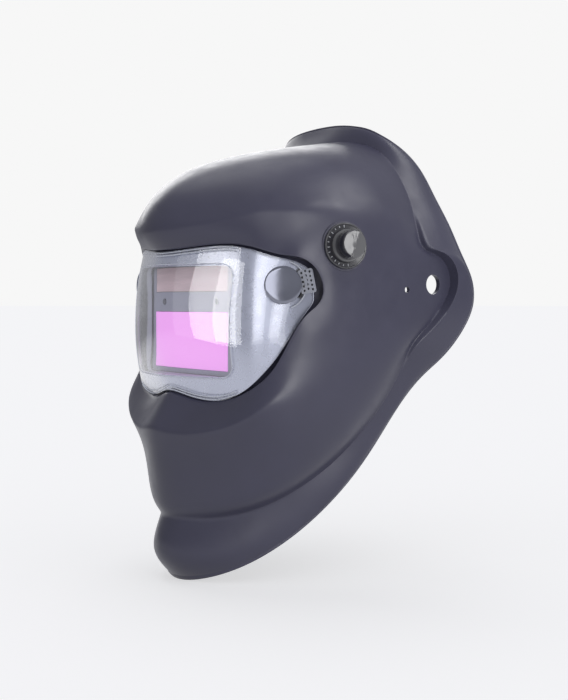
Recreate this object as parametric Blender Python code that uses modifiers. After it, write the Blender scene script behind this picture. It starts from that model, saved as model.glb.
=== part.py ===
"""Welding helmet shell with auto-darkening filter, silver visor and shade knob.

Metres, +Z up, the face looks along -Y, the wearer's left side is +X.
The origin is the middle of the line between the two head-pivot holes.
"""
import math

import bmesh
import bpy
from mathutils import Matrix, Vector

MM = 0.001

# Driving sizes in millimetres.
WALL = 2.5
GAP = 0.3
PIVOT_HOLE_D = 14.5
STOP_HOLE_D = 4.5
STOP_HOLE_AT = (-27.0, -4.0)
SEAT_D = 32.0
SEAT_X = 109.6
COVER_T = 1.5
BEZEL_T = 1.6
VISOR_GROW = 1.2
WINDOW_HALF_W = 58.0
WINDOW_TOP = 12.5
WINDOW_BOTTOM = -65.0
ADF_HALF_W = 52.0
ADF_TOP = 17.0
ADF_BOTTOM = -67.0
ADF_FRONT = -139.2
ADF_SPLIT = -135.05
ADF_BACK = -130.2
LCD_HALF_W = 46.0
LCD_TOP = -20.0
LCD_BOTTOM = -62.0
SOLAR_TOP = 13.0
SOLAR_BOTTOM = -5.5
STUD_AT = (85.0, -121.8, -1.0)
STUD_DIR = (0.80, -0.60, 0.0)
STUD_HEAD_R = 13.0
KNOB_AT = (104.2, -82.2, 26.0)
KNOB_DIR = (0.955, -0.290, 0.060)
DIAL_R = 16.2
KNOB_R = 10.5
KNOB_TOP = 17.5
BAIL_PIVOT = (-134.0, -24.0)

for old in list(bpy.data.objects):
    bpy.data.objects.remove(old, do_unlink=True)

parts = bpy.data.collections.new("welding_helmet")
tools = bpy.data.collections.new("cutters")
bpy.context.scene.collection.children.link(parts)
bpy.context.scene.collection.children.link(tools)


def material(name, rgb, rough, metal=0.0, clear=0.0):
    mat = bpy.data.materials.new(name)
    mat.use_nodes = True
    node = mat.node_tree.nodes["Principled BSDF"]
    node.inputs["Base Color"].default_value = (rgb[0], rgb[1], rgb[2], 1.0)
    node.inputs["Roughness"].default_value = rough
    node.inputs["Metallic"].default_value = metal
    node.inputs["Transmission Weight"].default_value = clear
    mat.diffuse_color = (rgb[0], rgb[1], rgb[2], 1.0)
    return mat


def link(name, mesh, rgb, rough, metal=0.0, clear=0.0, origin=(0, 0, 0), axis=None):
    """Put a mesh in the scene under its part name with its own material."""
    mesh.name = name
    obj = bpy.data.objects.new(name, mesh)
    parts.objects.link(obj)
    obj.data.materials.append(material(name + "_material", rgb, rough, metal, clear))
    obj.matrix_world = frame_at(origin, axis)
    return obj


def frame_at(origin, axis=None):
    """Matrix whose origin is a point in millimetres and whose Z runs along axis."""
    spot = Matrix.Translation(Vector(origin) * MM)
    if axis is None:
        return spot
    turn = Vector(axis).normalized().to_track_quat("Z", "Y")
    return spot @ turn.to_matrix().to_4x4()


def finish(obj, angle=35.0):
    obj.data.shade_smooth()
    obj.data.set_sharp_from_angle(angle=math.radians(angle))


def new_mesh(name, bm):
    bmesh.ops.recalc_face_normals(bm, faces=bm.faces)
    mesh = bpy.data.meshes.new(name)
    bm.to_mesh(mesh)
    bm.free()
    return mesh


def add_cylinder(bm, radius, low, high, centre=(0, 0), sides=24, radius_top=None, axis="Z"):
    """A capped cylinder or cone along a main axis, sizes in millimetres."""
    top = radius if radius_top is None else radius_top
    mid = 0.5 * (low + high)
    turn = Matrix.Identity(4)
    spot = Vector((centre[0], centre[1], mid))
    if axis == "Y":
        turn = Matrix.Rotation(math.radians(-90.0), 4, "X")
        spot = Vector((centre[0], mid, centre[1]))
    if axis == "X":
        turn = Matrix.Rotation(math.radians(90.0), 4, "Y")
        spot = Vector((mid, centre[0], centre[1]))
    bmesh.ops.create_cone(
        bm,
        cap_ends=True,
        segments=sides,
        radius1=radius * MM,
        radius2=top * MM,
        depth=(high - low) * MM,
        matrix=Matrix.Translation(spot * MM) @ turn,
    )


def add_box(bm, low, high):
    """A box between two corners in millimetres."""
    size = Vector([high[i] - low[i] for i in range(3)]) * MM
    mid = Vector([0.5 * (high[i] + low[i]) for i in range(3)]) * MM
    scale = Matrix.Diagonal((size.x, size.y, size.z, 1.0))
    bmesh.ops.create_cube(bm, size=1.0, matrix=Matrix.Translation(mid) @ scale)


def rounded_slab(half_w, top, bottom, front, back, radius, steps=5):
    """Outline curve in X and Z, filled and extruded from front to back along Y."""
    curve = bpy.data.curves.new("slab", "CURVE")
    curve.dimensions = "2D"
    curve.fill_mode = "BOTH"
    curve.extrude = 0.5 * (back - front) * MM
    mid = 0.5 * (top + bottom)
    half_h = 0.5 * (top - bottom)
    points = []
    for sx, sz, start in ((1, 1, 0), (-1, 1, 90), (-1, -1, 180), (1, -1, 270)):
        for step in range(steps):
            angle = math.radians(start + 90.0 * step / (steps - 1))
            px = sx * (half_w - radius) + radius * math.cos(angle)
            pz = sz * (half_h - radius) + radius * math.sin(angle)
            points.append((px, pz))
    spline = curve.splines.new("POLY")
    spline.points.add(len(points) - 1)
    for index, (px, pz) in enumerate(points):
        spline.points[index].co = (px * MM, pz * MM, 0.0, 1.0)
    spline.use_cyclic_u = True
    holder = bpy.data.objects.new("slab", curve)
    tools.objects.link(holder)
    graph = bpy.context.evaluated_depsgraph_get()
    mesh = bpy.data.meshes.new_from_object(holder.evaluated_get(graph))
    bpy.data.objects.remove(holder, do_unlink=True)
    stand = Matrix.Rotation(math.radians(90.0), 4, "X")
    shift = Matrix.Translation(Vector((0.0, 0.5 * (front + back), mid)) * MM)
    mesh.transform(shift @ stand)
    bm = bmesh.new()
    bm.from_mesh(mesh)
    bmesh.ops.remove_doubles(bm, verts=bm.verts, dist=1e-6)
    bmesh.ops.recalc_face_normals(bm, faces=bm.faces)
    bm.to_mesh(mesh)
    bm.free()
    return mesh


def tool(name, mesh, origin=(0, 0, 0), axis=None):
    obj = bpy.data.objects.new(name, mesh)
    tools.objects.link(obj)
    obj.matrix_world = frame_at(origin, axis)
    obj.hide_render = True
    obj.display_type = "WIRE"
    return obj


def cut(target, cutter, mode="DIFFERENCE"):
    mod = target.modifiers.new(cutter.name, "BOOLEAN")
    mod.operation = mode
    mod.solver = "EXACT"
    mod.object = cutter


def half_grid(rows, creases):
    """Faces between neighbouring rows of points; each row is hand chosen."""
    bm = bmesh.new()
    grid = [[bm.verts.new(Vector(point) * MM) for point in row] for row in rows]
    for low, high in zip(grid, grid[1:]):
        for step in range(len(low) - 1):
            bm.faces.new((low[step], low[step + 1], high[step + 1], high[step]))
    bm.normal_update()
    layer = bm.edges.layers.float.new("crease_edge")
    for row, weights in creases.items():
        for step in range(len(grid[row]) - 1):
            edge = bm.edges.get((grid[row][step], grid[row][step + 1]))
            edge[layer] = weights if isinstance(weights, float) else weights[step]
    return bm


def soft_half(obj, levels, thickness):
    """Mirror the half, round it, then give it its wall on the inside."""
    mirror = obj.modifiers.new("mirror", "MIRROR")
    mirror.merge_threshold = 1e-5
    smooth = obj.modifiers.new("round", "SUBSURF")
    smooth.levels = levels
    smooth.render_levels = levels
    wall = obj.modifiers.new("wall", "SOLIDIFY")
    wall.thickness = thickness * MM
    wall.offset = -1.0


# ---------------------------------------------------------------- shell
# Each row runs from the crown, round the left side, to the chin.
SILL = [
    (0, -157, 17.5), (21, -150.5, 17.8), (40, -140.5, 20), (57, -132.5, 21.5), (67, -124, 17),
    (74, -116, 13), (80, -109, 12), (84, -104, 10), (85.5, -100, 6), (86, -98, 2),
    (86, -97, -3), (86, -97, -8), (85, -99, -12), (83.5, -102, -16), (81, -106, -21),
    (78, -110, -30), (74.5, -114, -42), (70, -119, -54), (64, -127, -65), (50, -134, -75),
    (28, -139.5, -77.5), (12, -145, -75), (0, -149, -71),
]
LIP = [
    (0, -158, 24.5), (22, -151.5, 25.5), (42, -142, 28), (60, -132, 27), (71, -124, 23),
    (79, -114, 19), (85, -108, 18), (90, -102, 16), (92, -96, 11), (93.5, -91, 5),
    (94, -88, -1), (94, -88, -8), (92.5, -92, -13), (90.5, -98, -18), (88, -104, -24),
    (84.5, -108, -34), (80.5, -113, -46), (76, -118, -59), (69, -128, -70), (53, -136, -80),
    (30, -141.5, -83), (13, -147, -80), (0, -153, -76),
]
EDGE = [
    (0, -169, 24), (22, -161, 25), (43, -151.5, 28), (62, -140, 27.5), (74, -133, 23.5),
    (82, -123, 19.5), (90, -118, 19), (95, -112, 17.5), (98, -105, 12.5), (99.5, -100.5, 6),
    (100, -98, -1), (100, -98, -8), (98.5, -101, -14.5), (96.5, -107, -19), (94, -113, -25),
    (90, -117.5, -35), (86, -122, -47), (81.5, -127.5, -60), (75, -136.5, -71),
    (56, -144, -81.5), (32, -149, -84.5), (14, -155, -81.5), (0, -161, -77),
]
BAND = [
    (0, -175, 31), (23, -168, 32), (46, -156, 34), (66, -142.5, 36), (77, -130.5, 33),
    (86, -120, 30), (94, -112, 28), (99, -104, 25), (101.5, -98, 18), (103, -94, 9),
    (103.5, -91.5, 0), (103.5, -91.5, -10), (102.5, -94, -19), (101, -99, -27),
    (98.5, -106, -34), (95, -111, -44), (91, -116.5, -55), (87, -124.5, -67), (82, -138, -77),
    (64, -149, -90), (38, -157, -95), (16, -162, -94), (0, -169, -89),
]
RIDGE = [
    (0, -178, 40), (25, -170, 40), (48, -157, 42), (67, -141, 48), (78, -124, 51),
    (89, -109.5, 51), (96, -94, 48.5), (101, -86, 40), (104, -81, 29), (105.5, -79, 18),
    (106, -78, 4), (106, -79, -9), (105.5, -82, -21), (104, -87, -31), (101.5, -93, -40),
    (99, -101, -50), (96, -108, -61), (93, -122, -73), (87, -138, -83), (69, -150, -98),
    (42, -162, -105), (19, -170, -106), (0, -176, -101),
]
CHEEK = [
    (0, -172, 62), (27, -159, 62), (52, -142.5, 63), (71, -127, 63), (83, -108, 61),
    (93, -93, 58), (100, -77, 52), (104.5, -70, 42), (107.5, -66, 30), (109, -64, 18),
    (109.5, -63, 4), (109.5, -63, -10), (109, -65, -23), (107.5, -69, -35), (105.5, -76, -47),
    (103, -85, -60), (99.5, -95, -73), (96, -109, -87), (89, -125, -99), (71, -137.5, -114),
    (44, -151.5, -122), (21, -165, -123), (0, -173, -121),
]
DOME_LOW = [
    (0, -135, 87), (28, -127, 88), (54, -113, 87.5), (73, -95, 79), (86, -80, 70),
    (96, -66, 61), (103, -56, 50), (107, -50, 39), (109.5, -46, 28), (111, -43, 16),
    (111.5, -42, 3), (111.5, -42, -11), (111, -44, -25), (110, -48, -39), (108, -56, -54),
    (105, -66, -70), (101, -77, -87), (95.5, -90, -103), (88, -110, -121), (73, -128, -136),
    (47, -146, -143), (23, -161.5, -144), (0, -170, -144),
]
DOME_HIGH = [
    (0, -78, 103), (30, -74, 103), (56, -64, 100), (76, -52, 92), (89, -43, 79),
    (98, -35, 65), (105, -30, 51), (109, -27, 39), (111.5, -24, 28), (113, -20, 16),
    (113, -17, 2), (113, -17, -12), (113, -20, -26), (111.5, -27, -39), (109.5, -35, -54),
    (106, -45, -72), (101.5, -57, -91), (95.5, -70, -110), (87, -88, -131), (73, -116, -150),
    (49, -142, -159), (23, -159, -162), (0, -168, -162),
]
FOLD = [
    (0, -18, 113), (30, -16, 112.5), (52, -4, 109), (68, 0, 96), (79, 1, 80),
    (89, -1, 66), (96, -3, 51), (103.5, -6, 37), (109.5, -9, 24.5), (113, 7, 22.5),
    (113, 18, 12), (113, 20.5, -2), (113, 10, -17), (111.5, -7, -33), (107, -17, -43),
    (103, -21, -59), (98, -29, -79), (91, -44, -102), (79, -67, -130), (67, -103, -153),
    (44, -131, -167), (20, -153, -169), (0, -163, -168),
]
STEP = [
    (0, -17, 115), (30, -15, 114.5), (53, -3, 111), (69.5, 1.5, 97.5), (81, 2.5, 81),
    (91, 1, 66.5), (98.5, -1, 51.5), (107, -4.5, 38), (114, -8, 26), (119, 8, 24.5),
    (120.5, 19, 13), (120.5, 21, -2), (119.5, 11, -19), (115.5, -6, -35.5), (110, -16, -45),
    (105, -20, -60.5), (100, -28, -81), (93, -43, -104), (81, -66, -132), (69, -102, -155.5),
    (45, -130, -169), (20.5, -153, -171), (0, -163, -170),
]
FLARE = [
    (0, -9, 121), (33, -12, 120), (56, -4, 115.5), (70, 7, 101), (82, 12, 83),
    (92, 15, 67), (102, 17, 51), (110, 16, 38), (116, 18, 27), (120, 26, 20),
    (121.5, 31, 10), (121.5, 32, -4), (120, 25, -22), (116, 12, -38), (111.5, 1, -49),
    (106, -7, -64), (100, -18, -84), (91.5, -34, -110), (84, -60, -138), (71, -88, -167),
    (50, -131, -190), (27, -159, -197), (0, -177, -192),
]
RIM = [
    (0, -2, 129), (28, -7, 126.5), (53, -4, 121), (69, 15, 106), (80, 25, 88),
    (90, 27, 68), (101, 32, 47), (110, 33.5, 27), (116, 36, 14), (119.5, 38, 4),
    (121, 38.5, -7), (121, 37, -18), (119, 31, -31), (115, 22, -45), (110, 12, -57),
    (103, -4, -70), (96, -20, -92), (87, -32, -118), (83, -56, -146), (69, -87, -178),
    (50, -121, -202), (26, -145, -213.5), (0, -154, -217.5),
]
# Away from the side recess the flange starts straight from the fold.
RECESS_STATIONS = range(7, 15)
FLANGE_START = 0.12
for station, (fold, flare) in enumerate(zip(FOLD, FLARE)):
    if station not in RECESS_STATIONS:
        STEP[station] = tuple(Vector(fold).lerp(Vector(flare), FLANGE_START))

SHARP = {
    0: 0.5,
    1: 0.7,
    2: 0.9,
    4: [.3, .5, .9, .9, .7, .4, .2, 0, 0, 0, 0, 0, 0, 0, 0, 0, 0, .3, .7, .8, .8, .7],
    8: [.9, .9, .9, .9, .9, .9, .9, .9, .95, 1, 1, 1, .95, .9, .8, .8, .8, .7, .5, .3, .1, 0],
    9: [.2, .2, .2, .2, .2, .2, .6, .9, .95, 1, 1, 1, .95, .9, .6, .2, .2, .2, .2, .2, .1, 0],
}
SHELL_ROWS = [SILL, LIP, EDGE, BAND, RIDGE, CHEEK, DOME_LOW, DOME_HIGH, FOLD, STEP, FLARE, RIM]

shell_mesh = bpy.data.meshes.new("shell")
half = half_grid(SHELL_ROWS, SHARP)
half.to_mesh(shell_mesh)
half.free()
shell = link("shell", shell_mesh, (0.085, 0.085, 0.105), 0.42)
soft_half(shell, 1, WALL)

# Flat seats inside both pivot holes for a headgear bolt.
bm = bmesh.new()
add_cylinder(bm, SEAT_D / 2, SEAT_X, 111.6, sides=32, axis="X")
add_cylinder(bm, SEAT_D / 2, -111.6, -SEAT_X, sides=32, axis="X")
cut(shell, tool("pivot_seats", new_mesh("pivot_seats", bm)), "UNION")

# Seat of the shade knob, outside and inside.
bm = bmesh.new()
add_cylinder(bm, DIAL_R + 1.0, -2.2, 1.0, sides=32)
cut(shell, tool("knob_seat", new_mesh("knob_seat", bm), KNOB_AT, KNOB_DIR), "UNION")
bm = bmesh.new()
add_cylinder(bm, 10.0, -3.6, 0.5, sides=32)
cut(shell, tool("nut_seat", new_mesh("nut_seat", bm), KNOB_AT, KNOB_DIR), "UNION")

bm = bmesh.new()
for side in (-1, 1):
    ends = sorted((side * 100.0, side * 130.0))
    add_cylinder(bm, PIVOT_HOLE_D / 2, ends[0], ends[1], sides=32, axis="X")
    add_cylinder(bm, STOP_HOLE_D / 2, ends[0], ends[1], STOP_HOLE_AT, 16, axis="X")
cut(shell, tool("side_holes", new_mesh("side_holes", bm)))

bm = bmesh.new()
add_cylinder(bm, 4.9, -12.0, 12.0, sides=24)
cut(shell, tool("knob_hole", new_mesh("knob_hole", bm), KNOB_AT, KNOB_DIR))
finish(shell, 40.0)

# ---------------------------------------------------------------- visor
# Columns from the middle to the end; each runs from the brow to the cheek.
VISOR = [
    [(0, -165, 22.5), (0, -170, 0), (0, -172, -27), (0, -169, -52), (0, -159.5, -74.5)],
    [(20, -158.5, 23), (20, -164.5, 0), (20, -167, -27), (20, -164, -54), (20, -153, -80)],
    [(40, -150, 25), (40, -156, 2), (40, -159, -27), (40, -157, -55), (40, -147, -82)],
    [(55, -143, 25.5), (55, -148.5, 4), (55, -151.5, -25), (55, -150.5, -54), (55, -143.5, -79)],
    [(68, -135.5, 22.5), (68, -141, 4), (68, -143.5, -22), (68, -143.5, -48), (68, -139.5, -72)],
    [(76, -128, 18.5), (76, -133, 2), (76, -136, -19), (76, -136.5, -40), (76, -133, -62)],
    [(83, -120, 16), (83, -123.2, 2), (83, -125.2, -14), (83, -126.2, -31), (83, -124, -49)],
    [(88, -113, 14.5), (88, -115, 3), (88, -116, -9), (88, -116.5, -21), (88, -116, -33)],
    [(91.5, -107, 11), (91.5, -108, 3), (91.5, -108.5, -5), (91.5, -108.5, -13),
     (91.5, -108, -20)],
    [(94, -101, 6), (94, -101.5, 1.5), (94, -101.5, -3.5), (94, -101.5, -8), (94, -101, -12)],
]


def visor_sheet(depth, grow):
    """The visor half grid sunk by depth and with its outline moved out by grow."""
    bm = half_grid(VISOR, {})
    normals = {vert: vert.normal.copy() for vert in bm.verts}
    for vert, normal in normals.items():
        if abs(vert.co.x) < 1e-7:
            normal.x = 0.0
            normal.normalize()
        vert.co -= normal * depth * MM
        if vert.is_boundary and grow and abs(vert.co.x) > 1e-7:
            vert.co.z += math.copysign(grow, vert.co.z + 0.004) * MM
    return bm


sheet = visor_sheet(0.0, VISOR_GROW)
cover_mesh = bpy.data.meshes.new("visor_cover")
sheet.to_mesh(cover_mesh)
sheet.free()
visor_cover = link("visor_cover", cover_mesh, (0.80, 0.84, 0.92), 0.05, clear=0.9)
soft_half(visor_cover, 1, COVER_T)

sheet = visor_sheet(COVER_T + GAP + 0.3, VISOR_GROW)
bezel_mesh = bpy.data.meshes.new("visor_bezel")
sheet.to_mesh(bezel_mesh)
sheet.free()
visor_bezel = link("visor_bezel", bezel_mesh, (0.52, 0.54, 0.62), 0.28, 0.55)
soft_half(visor_bezel, 1, BEZEL_T)

# Posts on the back of the bezel that carry the filter frame.
POSTS = [(62.0, -12.0), (62.0, -46.0), (-62.0, -12.0), (-62.0, -46.0)]
bm = bmesh.new()
for px, pz in POSTS:
    add_cylinder(bm, 3.0, -141.2, -137.6 - GAP, (px, pz), 16, axis="Y")
cut(visor_bezel, tool("bezel_posts", new_mesh("bezel_posts", bm)), "UNION")
window = rounded_slab(WINDOW_HALF_W, WINDOW_TOP, WINDOW_BOTTOM, -190.0, -130.0, 9.0)
cut(visor_bezel, tool("window_cut", window))
bm = bmesh.new()
for px, pz in POSTS:
    add_cylinder(bm, 1.7, -141.1, -130.0, (px, pz), 12, axis="Y")
cut(visor_bezel, tool("post_holes", new_mesh("post_holes", bm)))
for side, label in ((1, "left"), (-1, "right")):
    bm = bmesh.new()
    add_cylinder(bm, 3.4, -12.0, 8.0, sides=20)
    spot = (side * STUD_AT[0], STUD_AT[1], STUD_AT[2])
    way = (side * STUD_DIR[0], STUD_DIR[1], STUD_DIR[2])
    hole = tool("stud_hole_" + label, new_mesh("stud_hole", bm), spot, way)
    cut(visor_cover, hole)
    cut(visor_bezel, hole)
finish(visor_cover, 40.0)
finish(visor_bezel, 40.0)

# Light hood between the bezel and the filter: unlike ends, so a loft.
bm = bmesh.new()
front_ring = []
back_ring = []
HOOD = [
    (0, -160.2, 14.2), (20, -155.3, 14.2), (38, -147.8, 14.2), (49, -142.8, 13.4),
    (56, -140.9, 8.5), (58, -140.9, 0), (58.3, -142.0, -14), (58.3, -142.8, -28),
    (58.3, -142.4, -44), (58, -140.9, -58), (55.5, -140.8, -66.5), (47, -142.6, -70.6),
    (36, -146.6, -70.8), (19, -151.8, -70.8), (0, -154.8, -70.8),
]
HOOD_BACK = [
    (0, 15.2), (18, 15.2), (34, 15.2), (45, 15.2), (49.5, 11), (50.2, 0), (50.2, -14),
    (50.2, -28), (50.2, -44), (50.2, -57), (48.5, -64), (42, -65.6), (32, -65.6), (17, -65.6),
    (0, -65.6),
]
for (fx, fy, fz), (bx, bz) in zip(HOOD, HOOD_BACK):
    front_ring.append(bm.verts.new(Vector((fx, fy, fz)) * MM))
    back_ring.append(bm.verts.new(Vector((bx, ADF_FRONT - 0.8, bz)) * MM))
for step in range(len(front_ring) - 1):
    quad = (front_ring[step], back_ring[step], back_ring[step + 1], front_ring[step + 1])
    bm.faces.new(quad)
bm.normal_update()
hood_mesh = bpy.data.meshes.new("window_hood")
bm.to_mesh(hood_mesh)
bm.free()
window_hood = link("window_hood", hood_mesh, (0.11, 0.11, 0.13), 0.6)
mirror = window_hood.modifiers.new("mirror", "MIRROR")
mirror.merge_threshold = 1e-5
wall = window_hood.modifiers.new("wall", "SOLIDIFY")
wall.thickness = 0.9 * MM
wall.offset = 0.0
finish(window_hood, 40.0)

# Studs that hold the two ends of the clear cover, and their clips.
for side, label in ((1, "left"), (-1, "right")):
    spot = (side * STUD_AT[0], STUD_AT[1], STUD_AT[2])
    way = (side * STUD_DIR[0], STUD_DIR[1], STUD_DIR[2])
    bm = bmesh.new()
    add_cylinder(bm, STUD_HEAD_R, 1.3, 3.8, sides=40, radius_top=STUD_HEAD_R - 0.6)
    head = new_mesh("stud", bm)
    stud = link("visor_stud_" + label, head, (0.42, 0.43, 0.50), 0.12, 0.0, 0.0, spot, way)
    bm = bmesh.new()
    add_cylinder(bm, 2.9, -10.0, 1.8, sides=20)
    cut(stud, tool("stud_shank_" + label, new_mesh("shank", bm), spot, way), "UNION")
    finish(stud)
    bm = bmesh.new()
    add_cylinder(bm, 6.5, -8.4, -6.6, sides=24)
    clip = link("stud_clip_" + label, new_mesh("clip", bm), (0.6, 0.6, 0.62), 0.3, 0.9,
                0.0, spot, way)
    bm = bmesh.new()
    add_cylinder(bm, 3.1, -10.0, -5.0, sides=20)
    cut(clip, tool("clip_hole_" + label, new_mesh("clip_hole", bm), spot, way))
    finish(clip)

# ---------------------------------------------------------------- filter cartridge
slab = rounded_slab(ADF_HALF_W, ADF_TOP, ADF_BOTTOM, ADF_FRONT, ADF_SPLIT - GAP / 2, 6.0)
adf_front = link("adf_front_housing", slab, (0.13, 0.14, 0.18), 0.35)
bm = bmesh.new()
add_box(bm, (-LCD_HALF_W, -145, LCD_BOTTOM), (LCD_HALF_W, -130, LCD_TOP))
add_box(bm, (-LCD_HALF_W, -145, SOLAR_BOTTOM), (LCD_HALF_W, -130, SOLAR_TOP))
add_cylinder(bm, 2.4, -145, -130, (33, -12.7), 16, axis="Y")
add_cylinder(bm, 2.4, -145, -130, (-33, -12.7), 16, axis="Y")
cut(adf_front, tool("front_windows", new_mesh("front_windows", bm)))
bm = bmesh.new()
add_box(bm, (-49, -137.6, -17.5), (49, -130, 15))
cut(adf_front, tool("front_pocket", new_mesh("front_pocket", bm)))
finish(adf_front)

slab = rounded_slab(ADF_HALF_W, ADF_TOP, ADF_BOTTOM, ADF_SPLIT + GAP / 2, ADF_BACK, 6.0)
adf_rear = link("adf_rear_housing", slab, (0.06, 0.06, 0.07), 0.5)
bm = bmesh.new()
add_box(bm, (-50.6, ADF_BACK - 0.5, -60), (-48.6, -128.6, -17))
add_box(bm, (48.6, ADF_BACK - 0.5, -60), (50.6, -128.6, -17))
cut(adf_rear, tool("lens_rails", new_mesh("lens_rails", bm)), "UNION")
bm = bmesh.new()
add_box(bm, (-47.6, -140, -63.6), (47.6, -131.6, -18.4))
add_box(bm, (-49.2, -140, -9.2), (49.2, -131.8, 15.2))
cut(adf_rear, tool("rear_pockets", new_mesh("rear_pockets", bm)))
bm = bmesh.new()
add_box(bm, (-45, -140, -61), (45, -125, -21))
add_cylinder(bm, 10.8, -140, -125, (36.5, 3), 32, axis="Y")
add_cylinder(bm, 10.8, -140, -125, (-36.5, 3), 32, axis="Y")
add_cylinder(bm, 1.8, -140, -125, (14, 2), 16, axis="Y")
add_cylinder(bm, 1.8, -140, -125, (-14, 2), 16, axis="Y")
add_cylinder(bm, 3.3, -140, -125, (0, 2), 20, axis="Y")
add_box(bm, (20.9, -140, -3), (24.3, -125, 7))
cut(adf_rear, tool("rear_openings", new_mesh("rear_openings", bm)))
finish(adf_rear)


def plain_box(name, low, high, rgb, rough, metal=0.0, clear=0.0):
    """A box part whose origin is its own middle."""
    mid = [0.5 * (low[i] + high[i]) for i in range(3)]
    bm = bmesh.new()
    add_box(bm, [low[i] - mid[i] for i in range(3)], [high[i] - mid[i] for i in range(3)])
    return link(name, new_mesh(name, bm), rgb, rough, metal, clear, mid)


plain_box("uv_ir_filter", (-45.7, -139.5, LCD_BOTTOM + 0.3), (45.7, -138.3, LCD_TOP - 0.3),
          (0.93, 0.34, 0.90), 0.08, 0.2)
plain_box("lcd_cell_front", (-47.3, -134.7, -63.3), (47.3, -133.5, -18.7),
          (0.10, 0.22, 0.14), 0.1)
plain_box("lcd_cell_rear", (-47.3, -133.2, -63.3), (47.3, -132.0, -18.7),
          (0.10, 0.22, 0.14), 0.1)
plain_box("solar_cell", (-45.7, -139.1, SOLAR_BOTTOM + 0.3), (45.7, -138.1, SOLAR_TOP - 0.3),
          (0.30, 0.17, 0.17), 0.3)
plain_box("circuit_board", (-48.5, -137.3, -17), (48.5, -136.3, 14.5), (0.05, 0.22, 0.11), 0.5)
plain_box("inner_cover_lens", (-48.2, -129.9, -64.5), (48.2, -128.9, -18),
          (0.85, 0.88, 0.9), 0.05, clear=0.9)
plain_box("grind_switch", (21.2, -131.6, -0.5), (24.0, -128.4, 4.5), (0.5, 0.05, 0.05), 0.4)


def round_part(name, spot, axis, solids, rgb, rough, metal=0.0):
    """A turned part: stacked cylinders (radius, low, high, top radius, sides) on one axis."""
    obj = None
    for index, (radius, low, high, top, sides) in enumerate(solids):
        bm = bmesh.new()
        add_cylinder(bm, radius, low, high, sides=sides, radius_top=top)
        mesh = new_mesh(name, bm)
        if index == 0:
            obj = link(name, mesh, rgb, rough, metal, 0.0, spot, axis)
        else:
            cut(obj, tool(name + "_add_" + str(index), mesh, spot, axis), "UNION")
    finish(obj)
    return obj


BACK = (0, 1, 0)
for side, label in ((1, "left"), (-1, "right")):
    round_part("arc_sensor_" + label, (side * 33, -139.7, -12.7), BACK,
               [(2.1, 0.0, 2.1, 2.1, 16)], (0.02, 0.02, 0.02), 0.1)
    round_part("battery_" + label, (side * 36.5, -134.9, 3), BACK,
               [(10.0, 0.0, 2.5, 10.0, 32)], (0.7, 0.7, 0.72), 0.25, 1.0)
    cap = round_part("battery_cap_" + label, (side * 36.5, -130.2, 3), BACK,
                     [(10.5, -1.8, 1.0, 10.3, 32)], (0.05, 0.05, 0.055), 0.5)
    bm = bmesh.new()
    add_box(bm, (-7, -0.8, 0.4), (7, 0.8, 3))
    cut(cap, tool("cap_slot_" + label, new_mesh("slot", bm), (side * 36.5, -130.2, 3), BACK))
for name, px in (("sensitivity_knob", -14), ("delay_knob", 14)):
    knob = round_part(name, (px, ADF_BACK, 2), BACK,
                      [(5.5, 0.4, 4.0, 5.0, 24), (1.5, -2.6, 1.0, 1.5, 16)],
                      (0.05, 0.05, 0.055), 0.45)
    bm = bmesh.new()
    add_box(bm, (-0.5, 0.5, 3.4), (0.5, 6.5, 6))
    cut(knob, tool(name + "_mark", new_mesh("mark", bm), (px, ADF_BACK, 2), BACK))
round_part("test_button", (0, ADF_BACK, 2), BACK, [(3.0, -1.4, 2.2, 2.8, 20)],
           (0.12, 0.35, 0.14), 0.4)

# Frame round the cartridge, with lugs for the bezel posts.
frame_slab = rounded_slab(ADF_HALF_W + 3.0, ADF_TOP + 3.0, ADF_BOTTOM - 3.0, -137.6, -130.4, 8.0)
adf_frame = link("adf_frame", frame_slab, (0.05, 0.05, 0.055), 0.5)
bm = bmesh.new()
for px, pz in POSTS:
    inner, outer = sorted((math.copysign(53.5, px), math.copysign(66.5, px)))
    add_box(bm, (inner, -137.6, pz - 4.5), (outer, -135.4, pz + 4.5))
cut(adf_frame, tool("frame_lugs", new_mesh("frame_lugs", bm)), "UNION")
hollow = rounded_slab(ADF_HALF_W + GAP, ADF_TOP + GAP, ADF_BOTTOM - GAP, -150.0, -120.0, 6.2)
cut(adf_frame, tool("frame_hollow", hollow))
bm = bmesh.new()
for px, pz in POSTS:
    add_cylinder(bm, 1.8, -145, -125, (px, pz), 12, axis="Y")
add_cylinder(bm, 1.6, -60, 60, BAIL_PIVOT, 16, axis="X")
add_box(bm, (50, -139, -2), (58, -134.7, 2))
cut(adf_frame, tool("frame_holes", new_mesh("frame_holes", bm)))
finish(adf_frame)
for index, (px, pz) in enumerate(POSTS):
    screw = round_part("frame_screw_" + str(index + 1), (px, -135.2, pz), BACK,
                       [(2.8, 0.0, 1.8, 2.2, 16), (1.45, -5.6, 0.5, 1.45, 12)],
                       (0.5, 0.5, 0.52), 0.3, 1.0)
    bm = bmesh.new()
    add_box(bm, (-3.5, -0.35, 1.1), (3.5, 0.35, 3))
    cut(screw, tool("screw_slot_" + str(index + 1), new_mesh("slot", bm),
                    (px, -135.2, pz), BACK))


def wire(name, points, radius, sides, rgb, rough, metal, origin):
    """Round wire along a line of points, capped at both ends."""
    curve = bpy.data.curves.new(name, "CURVE")
    curve.dimensions = "3D"
    curve.bevel_depth = radius * MM
    curve.bevel_resolution = sides
    curve.use_fill_caps = True
    spline = curve.splines.new("POLY")
    spline.points.add(len(points) - 1)
    for index, point in enumerate(points):
        local = (Vector(point) - Vector(origin)) * MM
        spline.points[index].co = (local.x, local.y, local.z, 1.0)
    obj = bpy.data.objects.new(name, curve)
    parts.objects.link(obj)
    obj.location = Vector(origin) * MM
    curve.materials.append(material(name + "_material", rgb, rough, metal))
    return obj


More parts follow.
